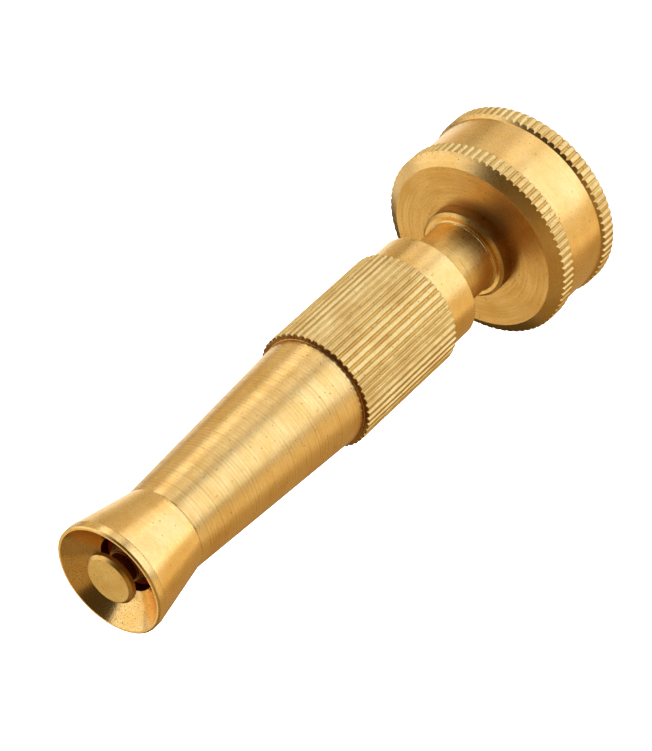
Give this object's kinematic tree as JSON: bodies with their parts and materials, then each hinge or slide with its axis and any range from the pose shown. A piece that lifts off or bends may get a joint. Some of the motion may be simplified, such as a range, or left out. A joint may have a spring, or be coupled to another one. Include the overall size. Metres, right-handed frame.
{
  "type": "hose spray nozzle",
  "caption": "Straight twist-type hose spray nozzle in solid brass: tapered barrel with a flared mouth and ribbed grip, plug stem and knurled swivel hose coupling.",
  "frame": {"origin": "centre of the coupling's hose-end face, which the nozzle stands on", "axes": "+Z along the nozzle's axis, from the hose end to the jet; X and Y are equal, as the nozzle is round"},
  "size_m": [0.0324, 0.0324, 0.1019],
  "materials": {
    "turned_brass": "satin, fine lathe lines",
    "black_rubber": "matte",
    "red_rubber": "matte"
  },
  "bodies": {
    "coupling": {"coupling_nut": "turned_brass", "hose_washer": "black_rubber"},
    "stem": {"valve_stem": "turned_brass", "swivel_ferrule": "turned_brass", "shutoff_o_ring": "red_rubber"},
    "gland": {"gland_o_ring": "black_rubber"},
    "barrel": {"spray_barrel": "turned_brass"}
  },
  "joints": [
    {"name": "coupling_swivel", "type": "hinge", "parent": "coupling", "child": "stem", "pos_m": [0, 0, 0.0146], "axis": [0, 0, 1], "continuous": true},
    {"name": "barrel_travel", "type": "slide", "parent": "stem", "child": "gland", "axis": [0, 0, 1], "range_m": [0, 0.00875]},
    {"name": "barrel_twist", "type": "hinge", "parent": "gland", "child": "barrel", "pos_m": [0, 0, 0.03], "axis": [0, 0, 1], "range_deg": [0, 1260]}
  ],
  "couplings": [
    {"joint": "barrel_twist", "follows": "barrel_travel", "rad_per_m": 2513.3}
  ]
}
